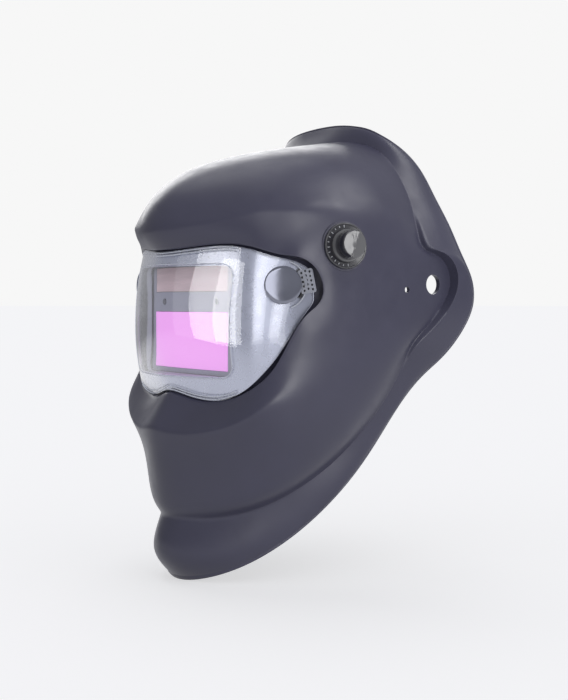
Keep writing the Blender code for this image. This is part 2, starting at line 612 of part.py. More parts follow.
pv_y, pv_z = BAIL_PIVOT
BAIL = [
    (53.2, pv_y, pv_z), (56.6, pv_y, pv_z), (57.6, -133.8, -23.1), (57.9, -133.3, -21.4),
    (57.9, -126.8, 9.5), (57.4, -126.1, 12.4), (55.2, -125.9, 13.5), (30, -125.9, 13.5),
    (-30, -125.9, 13.5), (-55.2, -125.9, 13.5), (-57.4, -126.1, 12.4), (-57.9, -126.8, 9.5),
    (-57.9, -133.3, -21.4), (-57.6, -133.8, -23.1), (-56.6, pv_y, pv_z), (-53.2, pv_y, pv_z),
]
wire("adf_bail", BAIL, 1.2, 2, (0.62, 0.62, 0.64), 0.25, 1.0, (0, pv_y, pv_z))

# ---------------------------------------------------------------- shade knob
bm = bmesh.new()
add_cylinder(bm, DIAL_R, 1.3, 3.5, sides=48, radius_top=DIAL_R - 0.8)
shade_dial = link("shade_dial", new_mesh("dial", bm), (0.05, 0.05, 0.055), 0.35, 0.0, 0.0,
                  KNOB_AT, KNOB_DIR)
bm = bmesh.new()
add_cylinder(bm, 8.4, 0.0, 6.0, sides=32)
cut(shade_dial, tool("dial_bore", new_mesh("bore", bm), KNOB_AT, KNOB_DIR))
finish(shade_dial)

shade_knob = round_part("shade_knob", KNOB_AT, KNOB_DIR,
                        [(12.6, 3.9, 6.6, 12.2, 40), (KNOB_R, 6.0, KNOB_TOP, KNOB_R - 0.7, 40)],
                        (0.09, 0.09, 0.11), 0.3)
bm = bmesh.new()
add_cylinder(bm, 3.15, 0.0, 14.0, sides=20)
cut(shade_knob, tool("knob_bore", new_mesh("bore", bm), KNOB_AT, KNOB_DIR))
bm = bmesh.new()
add_cylinder(bm, 7.2, 0.0, 5.2, sides=24)
cut(shade_knob, tool("nut_room", new_mesh("room", bm), KNOB_AT, KNOB_DIR))
bm = bmesh.new()
add_box(bm, (-14, 1.4, KNOB_TOP - 4.5), (14, 14, KNOB_TOP + 2))
cut(shade_knob, tool("knob_step", new_mesh("step", bm), KNOB_AT, KNOB_DIR))
round_part("shade_pot_shaft", KNOB_AT, KNOB_DIR, [(3.0, -3.4, 13.7, 3.0, 20)],
           (0.7, 0.68, 0.6), 0.3, 1.0)
pot = round_part("shade_pot_body", KNOB_AT, KNOB_DIR,
                 [(8.0, -14.0, -3.9, 8.0, 32), (4.6, -4.5, 3.6, 4.6, 24)],
                 (0.25, 0.25, 0.27), 0.4, 0.6)
bm = bmesh.new()
add_cylinder(bm, 3.15, -3.7, 8.0, sides=20)
cut(pot, tool("pot_bore", new_mesh("bore", bm), KNOB_AT, KNOB_DIR))
nut = round_part("shade_pot_nut", KNOB_AT, KNOB_DIR, [(6.8, 1.3, 3.3, 6.8, 6)],
                 (0.66, 0.66, 0.68), 0.3, 1.0)
bm = bmesh.new()
add_cylinder(bm, 4.8, 0.0, 6.0, sides=24)
cut(nut, tool("nut_bore", new_mesh("bore", bm), KNOB_AT, KNOB_DIR))

CABLE = [
    (89.5, -77.8, 25.1), (87.4, -78.4, 24.5), (84.4, -82.6, 22.3), (79.8, -95, 15.8),
    (75.5, -107, 10), (71, -119, 4.5), (66.5, -129, 1.2), (62.5, -134.4, 0.2),
    (58.5, -136.6, 0), (52.3, -136.6, 0),
]
wire("shade_cable", CABLE, 1.2, 1, (0.03, 0.03, 0.03), 0.5, 0.0, (75, -107, 10))
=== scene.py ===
"""Looks of the welding helmet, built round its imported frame.

Metres, +Z up, the face looks along -Y, the wearer's left side is +X.
"""
import math

import bmesh
import bpy
from mathutils import Matrix, Vector
from mathutils.bvhtree import BVHTree


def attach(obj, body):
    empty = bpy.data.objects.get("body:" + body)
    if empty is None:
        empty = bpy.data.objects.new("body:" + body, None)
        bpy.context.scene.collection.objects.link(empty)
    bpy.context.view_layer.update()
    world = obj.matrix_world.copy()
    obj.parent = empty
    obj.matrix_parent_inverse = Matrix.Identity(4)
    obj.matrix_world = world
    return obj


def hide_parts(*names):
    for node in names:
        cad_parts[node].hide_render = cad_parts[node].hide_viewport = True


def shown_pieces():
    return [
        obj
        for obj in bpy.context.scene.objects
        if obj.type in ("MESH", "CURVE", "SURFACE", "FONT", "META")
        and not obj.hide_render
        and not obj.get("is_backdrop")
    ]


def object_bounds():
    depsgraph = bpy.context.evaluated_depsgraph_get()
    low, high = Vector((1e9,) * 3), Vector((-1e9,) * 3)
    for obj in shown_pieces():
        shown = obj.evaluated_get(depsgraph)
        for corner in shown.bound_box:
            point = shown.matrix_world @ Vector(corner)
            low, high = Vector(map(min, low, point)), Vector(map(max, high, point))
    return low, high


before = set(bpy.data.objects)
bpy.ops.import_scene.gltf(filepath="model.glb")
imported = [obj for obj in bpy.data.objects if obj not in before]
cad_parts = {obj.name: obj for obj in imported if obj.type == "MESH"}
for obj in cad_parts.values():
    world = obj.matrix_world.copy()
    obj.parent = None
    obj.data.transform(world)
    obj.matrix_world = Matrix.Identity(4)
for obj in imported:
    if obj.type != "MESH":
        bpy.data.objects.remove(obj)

CAD_BOX = [list(corner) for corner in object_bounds()]
MM = 0.001

# Sizes in millimetres, the same as the frame's.
WALL = 2.5
COVER_T = 1.5
BEZEL_T = 1.6
GAP = 0.3
VISOR_GROW = 1.2
SEAT_X = 109.6
SEAT_R = 16.0
PIVOT_R = 7.25
STOP_HOLE_AT = (-27.0, -4.0)
STOP_HOLE_R = 2.25
STUD_AT = (85.0, -121.8, -1.0)
STUD_DIR = (0.80, -0.60, 0.0)
STUD_HOLE_R = 3.4
CLIP_R = 6.5
CLIP_HOLE_R = 3.1
KNOB_AT = (104.2, -82.2, 26.0)
KNOB_DIR = (0.955, -0.290, 0.060)
KNOB_HOLE_R = 4.9
DIAL_R = 16.2
POSTS = [(62.0, -12.0), (62.0, -46.0), (-62.0, -12.0), (-62.0, -46.0)]
POST_R = 3.0
PILOT_R = 1.7
ADF_FRONT = -139.2

# Half width, top, bottom and corner radius of the window.
WINDOW = (58.0, 12.5, -65.0, 9.0)

# Looks only, in millimetres and degrees.
GRIP_AT = (92.2, -106.4, 1.6)
GRIP_DIR = (0.935, -0.354, 0.03)
GRIP_SIZE = (5.6, 8.4)
GRIP_TURN = 11.0
DOT_R = 0.85
DOT_PITCH = 3.1
DOT_SHIFT = 0.9
KNOB_TURN = -109.0
KNOB_STEP_AT = (0.0, 0.6, 15.6)
KNOB_SLOPE = 9.0
DIAL_START = 95.0
DIAL_PITCH = 15.0
DIAL_TICKS = 13
WINDOW_LINE = 1.5
GROOVE_AT = (0.80, 0.86, 0.92)
GROOVE_DEPTH = 0.7
REAR_INSET = 0.7
SHELL_LEVELS = 3
VISOR_LEVELS = 3
PROBE_LEVELS = 4

# Height that parts the visor's upper edge from its lower one, and a place in front of it.
VISOR_SPLIT = -4.0
IN_FRONT = -150.0

# Studio, in metres.
FLOOR_R = 30.0
FLOOR_TINT = (0.66, 0.66, 0.67)
FLOOR_GLOW = 0.57
POOL_START = 0.5
POOL_END = 2.2
SKY = 0.42
SKY_TINT = (0.93, 0.94, 1.0)
BACKDROP = 0.93
TOP_LIGHT = 0.4
TOP_LIGHT_SPREAD = 40.0
TOP_LIGHT_FROM = (250.0, 68.0)

# A point nearer to the middle plane than this, in metres, lies on it.
ON_MIDDLE = 1e-7

scene = bpy.context.scene
pieces = bpy.data.collections.new("looks")
scene.collection.children.link(pieces)

# ---------------------------------------------------------------- camera
CAMERA_AZIMUTH = 49.6
CAMERA_ELEVATION = 2.72
CAMERA_DISTANCE = 0.859
CAMERA_TARGET = Vector((0.0, -0.0484, -0.0510))
CAMERA_LENS = 55.85
CAMERA_SENSOR = 36.0


def direction(azimuth, elevation):
    """Unit vector towards a place round the object; azimuth 0 is in front of the face."""
    a = math.radians(azimuth)
    e = math.radians(elevation)
    return Vector((math.sin(a) * math.cos(e), -math.cos(a) * math.cos(e), math.sin(e)))


camera = bpy.data.objects.new("camera", bpy.data.cameras.new("camera"))
scene.collection.objects.link(camera)
towards = direction(CAMERA_AZIMUTH, CAMERA_ELEVATION)
camera.location = CAMERA_TARGET + towards * CAMERA_DISTANCE
camera.rotation_mode = "QUATERNION"
camera.rotation_quaternion = (-towards).to_track_quat("-Z", "Y")
camera.data.sensor_width = CAMERA_SENSOR
camera.data.lens = CAMERA_LENS
camera.data.clip_start = 0.01
scene.camera = camera


# ---------------------------------------------------------------- materials
def surface(name, tint, rough, grain=900.0, depth=0.03, mottle=0.08, swing=0.06, wear_and_sheen=0.0,
            cloud=35.0, stretch=(1, 1, 1), **constants):
    """Principled material whose colour, roughness and relief vary over the piece.

    grain and depth are the scale of the relief and its height in millimetres; mottle and swing
    are how far colour and roughness stray; the edge setting lightens sharp edges, partly as wear
    and partly as a painted highlight; cloud is the scale of the colour's patches.
    """
    mat = bpy.data.materials.new(name)
    mat.use_nodes = True
    nodes = mat.node_tree.nodes
    links = mat.node_tree.links
    body = nodes["Principled BSDF"]
    place = nodes.new("ShaderNodeTexCoord")
    lay = nodes.new("ShaderNodeMapping")
    lay.inputs["Scale"].default_value = stretch
    links.new(place.outputs["Object"], lay.inputs["Vector"])

    def noise(scale, detail):
        node = nodes.new("ShaderNodeTexNoise")
        node.inputs["Scale"].default_value = scale
        node.inputs["Detail"].default_value = detail
        links.new(lay.outputs["Vector"], node.inputs["Vector"])
        return node.outputs["Fac"]

    def spread(source, low, high, start=0.3, stop=0.7):
        node = nodes.new("ShaderNodeMapRange")
        node.inputs["From Min"].default_value = start
        node.inputs["From Max"].default_value = stop
        node.inputs["To Min"].default_value = low
        node.inputs["To Max"].default_value = high
        links.new(source, node.inputs["Value"])
        return node.outputs["Result"]

    def blend(factor, first, second):
        node = nodes.new("ShaderNodeMix")
        node.data_type = "RGBA"
        links.new(factor, node.inputs[0])
        for slot, value in ((6, first), (7, second)):
            if isinstance(value, tuple):
                node.inputs[slot].default_value = (*value, 1.0)
            else:
                links.new(value, node.inputs[slot])
        return node.outputs[2]

    dark = tuple(c * (1.0 - mottle) for c in tint)
    light = tuple(min(1.0, c * (1.0 + mottle)) for c in tint)
    colour = blend(spread(noise(cloud, 5.0), 0.0, 1.0), dark, light)
    # Sharp edges turn towards a paler tint: partly wear, partly a painted highlight along the
    # edges.
    if wear_and_sheen:
        relief = nodes.new("ShaderNodeNewGeometry")
        worn_and_lit = tuple(min(1.0, c + 0.25 * (1.0 - c)) for c in tint)
        edge = spread(relief.outputs["Pointiness"], 0.0, wear_and_sheen, 0.53, 0.62)
        colour = blend(edge, colour, worn_and_lit)
    links.new(colour, body.inputs["Base Color"])
    links.new(spread(noise(cloud * 4.0, 4.0), rough - swing, rough + swing),
              body.inputs["Roughness"])
    bump = nodes.new("ShaderNodeBump")
    bump.inputs["Strength"].default_value = 1.0
    bump.inputs["Distance"].default_value = depth * MM
    links.new(noise(grain, 3.0), bump.inputs["Height"])
    links.new(bump.outputs["Normal"], body.inputs["Normal"])
    for key, value in constants.items():
        body.inputs[key.replace("_", " ")].default_value = value
    mat.diffuse_color = (*tint, 1.0)
    return mat


SHELL_PLASTIC = surface("shell_plastic", (0.053, 0.052, 0.084), 0.36, 1500.0, 0.02, 0.07,
                        0.05, 0.15, 22.0, IOR=1.48)
SILVER = surface("silver_plastic", (0.50, 0.52, 0.62), 0.28, 2600.0, 0.0008, 0.03, 0.03,
                 0.0, 40.0, Metallic=0.7)
CLEAR = surface("clear_cover", (0.96, 0.97, 1.0), 0.015, 60.0, 0.0002, 0.01, 0.008, 0.0, 20.0,
                Transmission_Weight=1.0, IOR=1.46)
DARK = surface("dark_plastic", (0.022, 0.022, 0.026), 0.42, 1400.0, 0.03, 0.12, 0.07, 0.5, 60.0)
STUD = surface("stud_gloss", (0.26, 0.27, 0.33), 0.09, 900.0, 0.002, 0.04, 0.02, 0.0, 50.0,
               Metallic=0.7)
STEEL = surface("spring_steel", (0.58, 0.58, 0.60), 0.28, 1800.0, 0.01, 0.08, 0.08, 0.2,
                90.0, (1, 1, 12), Metallic=1.0)
FACE = surface("filter_face", (0.44, 0.44, 0.54), 0.55, 1600.0, 0.015, 0.06, 0.05, 0.3, 50.0)
# Filter glass with emission: its glow is painted light, brighter than the lamps make it.
MAGENTA = surface("filter_glass", (0.95, 0.36, 0.96), 0.55, 500.0, 0.002, 0.05, 0.02, 0.0,
                  18.0, Emission_Color=(1.0, 0.50, 0.95, 1.0), Emission_Strength=0.42)
LCD = surface("lcd_glass", (0.03, 0.09, 0.05), 0.06, 500.0, 0.002, 0.08, 0.02, 0.0, 30.0,
              Coat_Weight=0.5)
SOLAR = surface("solar", (0.86, 0.66, 0.70), 0.55, 900.0, 0.004, 0.10, 0.05, 0.0, 25.0,
                (1, 1, 10))
BOARD = surface("board", (0.02, 0.14, 0.06), 0.45, 1300.0, 0.03, 0.2, 0.1, 0.2, 120.0)
RED = surface("red_plastic", (0.40, 0.02, 0.02), 0.36, 1400.0, 0.02, 0.08, 0.06, 0.3, 80.0)
SENSOR = surface("sensor_glass", (0.20, 0.20, 0.24), 0.20, 600.0, 0.004, 0.1, 0.04, 0.1,
                 60.0, Coat_Weight=0.8)
CELL = surface("cell_steel", (0.66, 0.66, 0.68), 0.20, 2000.0, 0.01, 0.06, 0.07, 0.1, 90.0,
               Metallic=1.0)
GREEN = surface("green_plastic", (0.03, 0.22, 0.05), 0.36, 1400.0, 0.02, 0.08, 0.06, 0.3, 80.0)
KNOB = surface("knob_plastic", (0.020, 0.020, 0.027), 0.16, 1500.0, 0.012, 0.08, 0.06, 0.6,
               70.0, Coat_Weight=0.25, Coat_Roughness=0.12)
BRASS = surface("brass_shaft", (0.66, 0.60, 0.45), 0.25, 1600.0, 0.01, 0.08, 0.08, 0.2, 90.0,
                Metallic=1.0)
POT = surface("pot_case", (0.30, 0.30, 0.32), 0.35, 1500.0, 0.02, 0.1, 0.1, 0.2, 90.0,
              Metallic=0.9)
RUBBER = surface("cable_rubber", (0.018, 0.018, 0.019), 0.50, 1500.0, 0.04, 0.15, 0.08, 0.0,
                 120.0)
# Opaque pale tint for the cover's clear raised lines: a painted highlight along them.
RIB_HIGHLIGHT = surface("cover_rib", (0.72, 0.75, 0.83), 0.16, 900.0, 0.003, 0.03, 0.03, 0.0,
                    60.0, Coat_Weight=0.5, Coat_Roughness=0.05)
GRIP = surface("grip_plastic", (0.58, 0.60, 0.68), 0.22, 900.0, 0.006, 0.05, 0.04, 0.3, 80.0,
               Transmission_Weight=0.2, Coat_Weight=0.5, Coat_Roughness=0.05)
DIAL = surface("dial_plastic", (0.030, 0.030, 0.036), 0.24, 1500.0, 0.01, 0.1, 0.05, 0.5,
               70.0, Coat_Weight=0.3, Coat_Roughness=0.1)
MARKS = surface("dial_marks", (0.55, 0.56, 0.60), 0.40, 1500.0, 0.01, 0.08, 0.05, 0.0, 120.0)


# ---------------------------------------------------------------- building helpers
def frame_at(origin, way=None):
    """Matrix whose origin is a point in millimetres and whose Z runs along way."""
    spot = Matrix.Translation(Vector(origin) * MM)
    if way is None:
        return spot
    return spot @ Vector(way).normalized().to_track_quat("Z", "Y").to_matrix().to_4x4()


def put(name, mesh, matrix=None):
    """A new object; its mesh is moved into the row frame, so the object stays at the origin."""
    if matrix is not None:
        mesh.transform(matrix)
    mesh.name = name
    obj = bpy.data.objects.new(name, mesh)
    pieces.objects.link(obj)
    return obj


def from_bm(bm):
    bmesh.ops.recalc_face_normals(bm, faces=bm.faces)
    mesh = bpy.data.meshes.new("mesh")
    bm.to_mesh(mesh)
    bm.free()
    return mesh


def bake(obj):
    """Turn an object with its modifiers, or a curve, into a plain mesh piece."""
    graph = bpy.context.evaluated_depsgraph_get()
    mesh = bpy.data.meshes.new_from_object(obj.evaluated_get(graph), depsgraph=graph)
    name = obj.name
    mesh.transform(obj.matrix_world)
    bpy.data.objects.remove(obj, do_unlink=True)
    return put(name, mesh)


def shape(obj, cutters, mode="DIFFERENCE", bevel=0.0):
    """Cut or join solids, then round the edges that this leaves."""
    for index, cutter in enumerate(cutters):
        mod = obj.modifiers.new("cut" + str(index), "BOOLEAN")
        mod.operation = mode
        mod.solver = "EXACT"
        mod.object = cutter
    if bevel:
        soften(obj, bevel)
    done = bake(obj)
    for cutter in cutters:
        bpy.data.objects.remove(cutter, do_unlink=True)
    return done


def soften(obj, width, segments=2, angle=35.0):
    mod = obj.modifiers.new("edge", "BEVEL")
    mod.width = width * MM
    mod.segments = segments
    mod.limit_method = "ANGLE"
    mod.angle_limit = math.radians(angle)


def finish(obj, body, slot, look, *nodes, angle=40.0):
    """Shade a piece, give it its look, and let it ride in place of its CAD nodes."""
    obj.data.shade_smooth()
    obj.data.set_sharp_from_angle(angle=math.radians(angle))
    obj.data.materials.clear()
    obj.data.materials.append(look)
    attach(obj, body)
    if nodes:
        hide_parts(*nodes)
    return obj


def cylinder(radius, low, high, spot, way, sides=48, top=None):
    bm = bmesh.new()
    bmesh.ops.create_cone(
        bm, cap_ends=True, segments=sides, radius1=radius * MM,
        radius2=(radius if top is None else top) * MM, depth=(high - low) * MM,
        matrix=Matrix.Translation((0.0, 0.0, 0.5 * (low + high) * MM)),
    )
    return put("solid", from_bm(bm), frame_at(spot, way))


def block(low, high, matrix=None):
    bm = bmesh.new()
    size = [(high[i] - low[i]) * MM for i in range(3)]
    mid = Vector([0.5 * (high[i] + low[i]) * MM for i in range(3)])
    bmesh.ops.create_cube(
        bm, size=1.0, matrix=Matrix.Translation(mid) @ Matrix.Diagonal((*size, 1.0))
    )
    return put("solid", from_bm(bm), matrix)


def outline(half_w, half_h, radius, steps=8):
    """Points of a rounded rectangle, anticlockwise from its right side."""
    points = []
    for sx, sy, start in ((1, 1, 0), (-1, 1, 90), (-1, -1, 180), (1, -1, 270)):
        for step in range(steps):
            angle = math.radians(start + 90.0 * step / (steps - 1))
            points.append((sx * (half_w - radius) + radius * math.cos(angle),
                           sy * (half_h - radius) + radius * math.sin(angle)))
    return points


def slab(points, low, high, matrix):
    """A flat plate with that outline, from low to high along the matrix's Z."""
    bm = bmesh.new()
    base = [bm.verts.new((x * MM, y * MM, low * MM)) for x, y in points]
    face = bm.faces.new(base)
    made = bmesh.ops.extrude_face_region(bm, geom=[face])
    lifted = [g for g in made["geom"] if isinstance(g, bmesh.types.BMVert)]
    bmesh.ops.translate(bm, verts=lifted, vec=(0.0, 0.0, (high - low) * MM))
    return put("solid", from_bm(bm), matrix)


def lathe(name, profile, spot, way, sides=96):
    """Turned solid; the profile is (radius, height) pairs from pole to pole, or a ring."""
    bm = bmesh.new()
    rings = []
    for radius, height in profile:
        count = sides if radius > 1e-6 else 1
        ring = []
        for step in range(count):
            angle = 2.0 * math.pi * step / count
            ring.append(bm.verts.new((radius * math.cos(angle) * MM,
                                      radius * math.sin(angle) * MM, height * MM)))
        rings.append(ring)
    pairs = list(zip(rings, rings[1:]))
    if len(rings[0]) > 1:
        pairs.append((rings[-1], rings[0]))
    for low, high in pairs:
        for step in range(sides):
            ahead = (step + 1) % sides
            corners = [low[step % len(low)], low[ahead % len(low)],
                       high[ahead % len(high)], high[step % len(high)]]
            bm.faces.new(list(dict.fromkeys(corners)))
    return put(name, from_bm(bm), frame_at(spot, way))


def tube(name, points, radius, closed=False, sides=4):
    """Round rod along points in metres, its radius in millimetres."""
    curve = bpy.data.curves.new(name, "CURVE")
    curve.dimensions = "3D"
    curve.bevel_depth = radius * MM
    curve.bevel_resolution = sides
    curve.use_fill_caps = True
    spline = curve.splines.new("POLY")
    spline.points.add(len(points) - 1)
    for index, point in enumerate(points):
        spline.points[index].co = (*point, 1.0)
    spline.use_cyclic_u = closed
    obj = bpy.data.objects.new(name, curve)
    pieces.objects.link(obj)
    bpy.context.view_layer.update()
    return bake(obj)


def rounded(points, steps=6):
    """A smooth line through the points, in the points' own units."""
    line = []
    last = len(points) - 1
    for index in range(last):
        p0 = Vector(points[max(index - 1, 0)])
        p1 = Vector(points[index])
        p2 = Vector(points[index + 1])
        p3 = Vector(points[min(index + 2, last)])
        for step in range(steps):
            t = step / steps
            line.append(0.5 * ((2 * p1) + (p2 - p0) * t + (2 * p0 - 5 * p1 + 4 * p2 - p3) * t * t
                               + (3 * p1 - p0 - 3 * p2 + p3) * t ** 3))
    line.append(Vector(points[last]))
    return line


def half_grid(rows, creases):
    """Faces between rows of points in millimetres; creases are given by row."""
    bm = bmesh.new()
    grid = [[bm.verts.new(Vector(point) * MM) for point in row] for row in rows]
    for low, high in zip(grid, grid[1:]):
        for step in range(len(low) - 1):
            bm.faces.new((low[step], low[step + 1], high[step + 1], high[step]))
    bm.normal_update()
    layer = bm.edges.layers.float.new("crease_edge")
    for row, weights in creases.items():
        for step in range(len(grid[row]) - 1):
            edge = bm.edges.get((grid[row][step], grid[row][step + 1]))
            edge[layer] = weights if isinstance(weights, float) else weights[step]
    return bm, grid


def skin(name, bm, levels, thickness):
    """Mirror the half, round it, and give it its wall on the inside."""
    mesh = bpy.data.meshes.new(name)
    bm.to_mesh(mesh)
    bm.free()
    obj = put(name, mesh)
    mirror = obj.modifiers.new("mirror", "MIRROR")
    mirror.merge_threshold = 1e-5
    smooth = obj.modifiers.new("round", "SUBSURF")
    smooth.levels = levels
    smooth.render_levels = levels
    if thickness:
        wall = obj.modifiers.new("wall", "SOLIDIFY")
        wall.thickness = thickness * MM
        wall.offset = -1.0
    return obj


# ---------------------------------------------------------------- shell
# Rows of the left half from the visor opening out to the rear edge, crown to chin.
SILL = [
    (0, -157, 17.5), (21, -150.5, 17.8), (40, -140.5, 20), (57, -132.5, 21.5), (67, -124, 17),
    (74, -116, 13), (80, -109, 12), (84, -104, 10), (85.5, -100, 6), (86, -98, 2),
    (86, -97, -3), (86, -97, -8), (85, -99, -12), (83.5, -102, -16), (81, -106, -21),
    (78, -110, -30), (74.5, -114, -42), (70, -119, -54), (64, -127, -65), (50, -134, -75),
    (28, -139.5, -77.5), (12, -145, -75), (0, -149, -71),
]
LIP = [
    (0, -158, 24.5), (22, -151.5, 25.5), (42, -142, 28), (60, -132, 27), (71, -124, 23),
    (79, -114, 19), (85, -108, 18), (90, -102, 16), (92, -96, 11), (93.5, -91, 5),
    (94, -88, -1), (94, -88, -8), (92.5, -92, -13), (90.5, -98, -18), (88, -104, -24),
    (84.5, -108, -34), (80.5, -113, -46), (76, -118, -59), (69, -128, -70), (53, -136, -80),
    (30, -141.5, -83), (13, -147, -80), (0, -153, -76),
]
EDGE = [
    (0, -169, 24), (22, -161, 25), (43, -151.5, 28), (62, -140, 27.5), (74, -133, 23.5),
    (82, -123, 19.5), (90, -118, 19), (95, -112, 17.5), (98, -105, 12.5), (99.5, -100.5, 6),
    (100, -98, -1), (100, -98, -8), (98.5, -101, -14.5), (96.5, -107, -19), (94, -113, -25),
    (90, -117.5, -35), (86, -122, -47), (81.5, -127.5, -60), (75, -136.5, -71),
    (56, -144, -81.5), (32, -149, -84.5), (14, -155, -81.5), (0, -161, -77),
]
BAND = [
    (0, -175, 31), (23, -168, 32), (46, -156, 34), (66, -142.5, 36), (77, -130.5, 33),
    (86, -120, 30), (94, -112, 28), (99, -104, 25), (101.5, -98, 18), (103, -94, 9),
    (103.5, -91.5, 0), (103.5, -91.5, -10), (102.5, -94, -19), (101, -99, -27),
    (98.5, -106, -34), (95, -111, -44), (91, -116.5, -55), (87, -124.5, -67), (82, -138, -77),
    (64, -149, -90), (38, -157, -95), (16, -162, -94), (0, -169, -89),
]
RIDGE = [
    (0, -178, 40), (25, -170, 40), (48, -157, 42), (67, -141, 48), (78, -124, 51),
    (89, -109.5, 51), (96, -94, 48.5), (101, -86, 40), (104, -81, 29), (105.5, -79, 18),
    (106, -78, 4), (106, -79, -9), (105.5, -82, -21), (104, -87, -31), (101.5, -93, -40),
    (99, -101, -50), (96, -108, -61), (93, -122, -73), (87, -138, -83), (69, -150, -98),
    (42, -162, -105), (19, -170, -106), (0, -176, -101),
]
CHEEK = [
    (0, -172, 62), (27, -159, 62), (52, -142.5, 63), (71, -127, 63), (83, -108, 61),
    (93, -93, 58), (100, -77, 52), (104.5, -70, 42), (107.5, -66, 30), (109, -64, 18),
    (109.5, -63, 4), (109.5, -63, -10), (109, -65, -23), (107.5, -69, -35), (105.5, -76, -47),
    (103, -85, -60), (99.5, -95, -73), (96, -109, -87), (89, -125, -99), (71, -137.5, -114),
    (44, -151.5, -122), (21, -165, -123), (0, -173, -121),
]
DOME_LOW = [
    (0, -135, 87), (28, -127, 88), (54, -113, 87.5), (73, -95, 79), (86, -80, 70),
    (96, -66, 61), (103, -56, 50), (107, -50, 39), (109.5, -46, 28), (111, -43, 16),
    (111.5, -42, 3), (111.5, -42, -11), (111, -44, -25), (110, -48, -39), (108, -56, -54),
    (105, -66, -70), (101, -77, -87), (95.5, -90, -103), (88, -110, -121), (73, -128, -136),
    (47, -146, -143), (23, -161.5, -144), (0, -170, -144),
]
DOME_HIGH = [
    (0, -78, 103), (30, -74, 103), (56, -64, 100), (76, -52, 92), (89, -43, 79),
    (98, -35, 65), (105, -30, 51), (109, -27, 39), (111.5, -24, 28), (113, -20, 16),
    (113, -17, 2), (113, -17, -12), (113, -20, -26), (111.5, -27, -39), (109.5, -35, -54),
    (106, -45, -72), (101.5, -57, -91), (95.5, -70, -110), (87, -88, -131), (73, -116, -150),
    (49, -142, -159), (23, -159, -162), (0, -168, -162),
]
FOLD = [
    (0, -18, 113), (30, -16, 112.5), (52, -4, 109), (68, 0, 96), (79, 1, 80),
    (89, -1, 66), (96, -3, 51), (103.5, -6, 37), (109.5, -9, 24.5), (113, 7, 22.5),
    (113, 18, 12), (113, 20.5, -2), (113, 10, -17), (111.5, -7, -33), (107, -17, -43),
    (103, -21, -59), (98, -29, -79), (91, -44, -102), (79, -67, -130), (67, -103, -153),
    (44, -131, -167), (20, -153, -169), (0, -163, -168),
]
STEP = [
    (0, -17, 115), (30, -15, 114.5), (53, -3, 111), (69.5, 1.5, 97.5), (81, 2.5, 81),
    (91, 1, 66.5), (98.5, -1, 51.5), (107, -4.5, 38), (114, -8, 26), (119, 8, 24.5),
    (120.5, 19, 13), (120.5, 21, -2), (119.5, 11, -19), (115.5, -6, -35.5), (110, -16, -45),
    (105, -20, -60.5), (100, -28, -81), (93, -43, -104), (81, -66, -132), (69, -102, -155.5),
    (45, -130, -169), (20.5, -153, -171), (0, -163, -170),
]
FLARE = [
    (0, -9, 121), (33, -12, 120), (56, -4, 115.5), (70, 7, 101), (82, 12, 83),
    (92, 15, 67), (102, 17, 51), (110, 16, 38), (116, 18, 27), (120, 26, 20),
    (121.5, 31, 10), (121.5, 32, -4), (120, 25, -22), (116, 12, -38), (111.5, 1, -49),
    (106, -7, -64), (100, -18, -84), (91.5, -34, -110), (84, -60, -138), (71, -88, -167),
    (50, -131, -190), (27, -159, -197), (0, -177, -192),
]
RIM = [
    (0, -2, 129), (28, -7, 126.5), (53, -4, 121), (69, 15, 106), (80, 25, 88),
    (90, 27, 68), (101, 32, 47), (110, 33.5, 27), (116, 36, 14), (119.5, 38, 4),
    (121, 38.5, -7), (121, 37, -18), (119, 31, -31), (115, 22, -45), (110, 12, -57),
    (103, -4, -70), (96, -20, -92), (87, -32, -118), (83, -56, -146), (69, -87, -178),
    (50, -121, -202), (26, -145, -213.5), (0, -154, -217.5),
]
# Away from the side recess the flange starts straight from the fold.
RECESS_STATIONS = range(7, 15)
FLANGE_START = 0.12
for station, (fold, flare) in enumerate(zip(FOLD, FLARE)):
    if station not in RECESS_STATIONS:
        STEP[station] = tuple(Vector(fold).lerp(Vector(flare), FLANGE_START))

# Crease of each row, or of each step along it.
SHARP = {
    0: 0.5,
    1: 0.7,
    2: 0.9,
    4: [.3, .5, .9, .9, .7, .4, .2, 0, 0, 0, 0, 0, 0, 0, 0, 0, 0, .3, .7, .8, .8, .7],
    8: [.9, .9, .9, .9, .9, .9, .9, .9, .95, 1, 1, 1, .95, .9, .8, .8, .8, .7, .5, .3, .1, 0],
    9: [.2, .2, .2, .2, .2, .2, .6, .9, .95, 1, 1, 1, .95, .9, .6, .2, .2, .2, .2, .2, .1, 0],
}
ROWS = [SILL, LIP, EDGE, BAND, RIDGE, CHEEK, DOME_LOW, DOME_HIGH, FOLD, STEP, FLARE, RIM]


def between(low, high, share):
    return [tuple(Vector(a).lerp(Vector(b), share)) for a, b in zip(low, high)]


